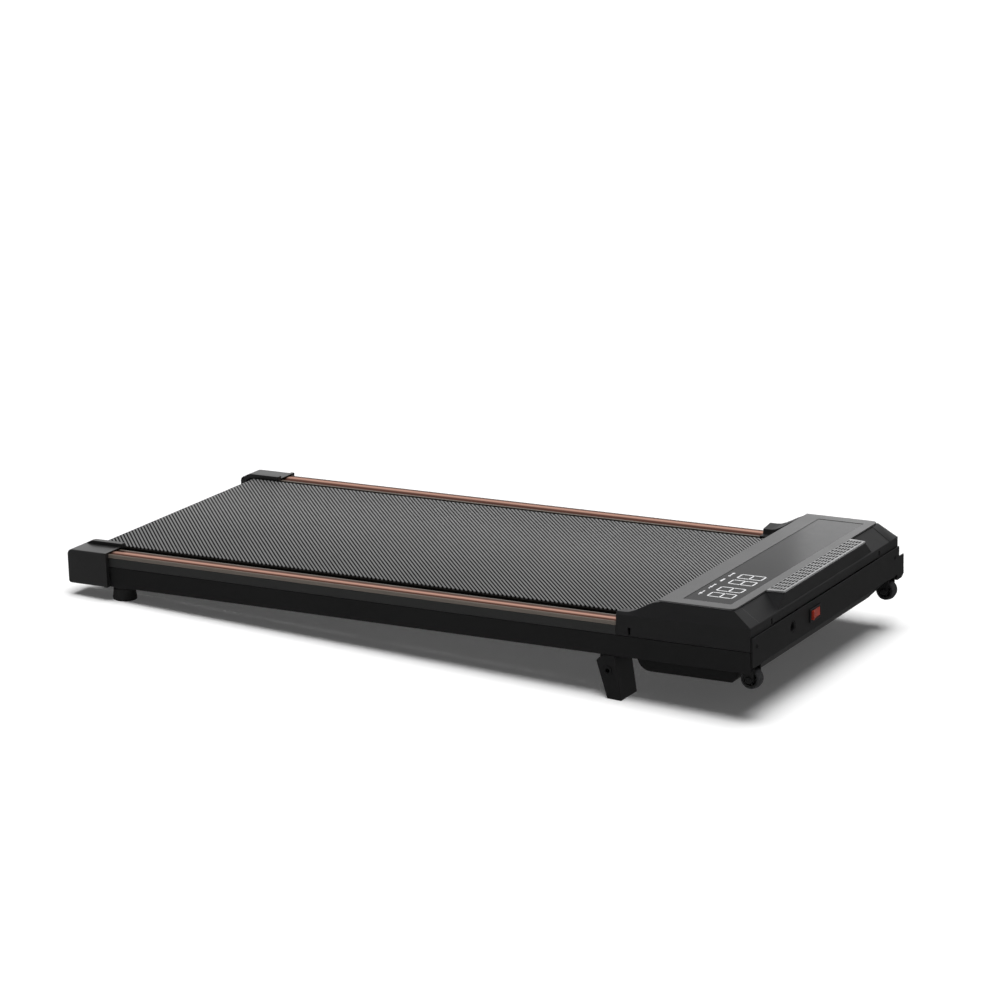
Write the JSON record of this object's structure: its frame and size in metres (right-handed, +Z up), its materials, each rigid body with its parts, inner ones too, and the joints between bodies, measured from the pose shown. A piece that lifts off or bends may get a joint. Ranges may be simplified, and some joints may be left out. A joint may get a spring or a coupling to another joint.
{
  "type": "treadmill",
  "caption": "Flat under-desk treadmill with a low motor hood, copper-trimmed side rails, fold-out incline legs, rear rubber feet and front transport wheels.",
  "frame": {"origin": "on the floor, under the middle of the bounding box", "axes": "+X from the rear end to the motor hood, +Y to the left of a person walking towards the hood, +Z up"},
  "size_m": [1.1128, 0.5322, 0.157],
  "materials": {
    "painted_steel": "satin black powder coat",
    "motor_paint": "semi-gloss black enamel",
    "black_plastic": "fine-grained moulded black",
    "copper_trim": "brushed, copper anodised",
    "grey_panel": "silver-grey, finely grained",
    "display_window": "gloss smoked window",
    "black_rubber": "matt",
    "wheel_tyre": "matt",
    "belt_surface": "diagonal woven pattern",
    "bright_steel": "turned, zinc plated",
    "cast_aluminium": "machined",
    "deck_laminate": "black phenolic face",
    "circuit_board": "green solder mask",
    "red_rocker": "gloss red"
  },
  "bodies": {
    "chassis": {"belly_pan": "black_plastic", "controller_board": "circuit_board", "cross_member_front": "painted_steel", "cross_member_middle": "painted_steel", "cross_member_rear": "painted_steel", "deck_board": "deck_laminate", "display_board": "circuit_board", "display_lens": "display_window", "drive_belt": "black_rubber", "drive_roller_axle": "bright_steel", "front_panel": "painted_steel", "heat_sink": "cast_aluminium", "hood_shell": "black_plastic", "left_deck_cushion_front": "black_rubber", "left_deck_cushion_middle": "black_rubber", "left_deck_cushion_rear": "black_rubber", "left_frame_rail": "painted_steel", "left_leg_bolt": "bright_steel", "left_leg_bracket": "painted_steel", "left_rear_cap": "black_plastic", "left_rear_foot": "black_rubber", "left_side_rail": "black_plastic", "left_tension_bolt": "bright_steel", "left_trim_strip": "copper_trim", "left_wheel_axle": "bright_steel", "left_wheel_bracket": "painted_steel", "motor_body": "motor_paint", "motor_bracket": "painted_steel", "motor_tray": "painted_steel", "power_inlet": "black_plastic", "rear_roller_axle": "bright_steel", "right_deck_cushion_front": "black_rubber", "right_deck_cushion_middle": "black_rubber", "right_deck_cushion_rear": "black_rubber", "right_frame_rail": "painted_steel", "right_leg_bolt": "bright_steel", "right_leg_bracket": "painted_steel", "right_rear_cap": "black_plastic", "right_rear_foot": "black_rubber", "right_side_rail": "black_plastic", "right_tension_bolt": "bright_steel", "right_trim_strip": "copper_trim", "right_wheel_axle": "bright_steel", "right_wheel_bracket": "painted_steel", "running_belt": "belt_surface", "side_hook": "painted_steel", "switch_bezel": "black_plastic", "top_panel": "grey_panel", "vent_grille": "grey_panel"},
    "right_leg": {"right_incline_leg": "painted_steel"},
    "left_leg": {"left_incline_leg": "painted_steel"},
    "right_wheel": {"right_transport_wheel": "wheel_tyre"},
    "left_wheel": {"left_transport_wheel": "wheel_tyre"},
    "drive_roller_body": {"drive_roller": "bright_steel", "drive_pulley": "cast_aluminium"},
    "rear_roller_body": {"rear_roller": "bright_steel"},
    "motor_rotor": {"motor_shaft": "bright_steel", "motor_pulley": "cast_aluminium", "motor_fan": "black_plastic"},
    "rocker": {"switch_rocker": "red_rocker"}
  },
  "joints": [
    {"name": "right_leg_fold", "type": "hinge", "parent": "chassis", "child": "right_leg", "pos_m": [0.33699, -0.23415, 0.04015], "axis": [0, 1, 0], "range_deg": [0, 110]},
    {"name": "left_leg_fold", "type": "hinge", "parent": "chassis", "child": "left_leg", "pos_m": [0.33699, 0.21785, 0.04015], "axis": [0, 1, 0], "range_deg": [0, 110]},
    {"name": "right_wheel_spin", "type": "hinge", "parent": "chassis", "child": "right_wheel", "pos_m": [0.54142, -0.23615, 0.06064], "axis": [0, 1, 0], "continuous": true},
    {"name": "left_wheel_spin", "type": "hinge", "parent": "chassis", "child": "left_wheel", "pos_m": [0.54142, 0.21985, 0.06064], "axis": [0, 1, 0], "continuous": true},
    {"name": "drive_roller_spin", "type": "hinge", "parent": "chassis", "child": "drive_roller_body", "pos_m": [0.37856, -0.00815, 0.09408], "axis": [0, 1, 0], "continuous": true},
    {"name": "rear_roller_spin", "type": "hinge", "parent": "chassis", "child": "rear_roller_body", "pos_m": [-0.52333, -0.00815, 0.04918], "axis": [0, 1, 0], "continuous": true},
    {"name": "motor_spin", "type": "hinge", "parent": "chassis", "child": "motor_rotor", "pos_m": [0.45309, -0.00815, 0.1053], "axis": [0, 1, 0], "continuous": true},
    {"name": "rocker_tip", "type": "hinge", "parent": "chassis", "child": "rocker", "pos_m": [0.54633, -0.05715, 0.10293], "axis": [-0.0497, 0, 0.9988], "range_deg": [-14, 0]}
  ],
  "couplings": [
    {"joint": "rear_roller_spin", "follows": "drive_roller_spin", "ratio": 1},
    {"joint": "motor_spin", "follows": "drive_roller_spin", "ratio": 2.33}
  ]
}
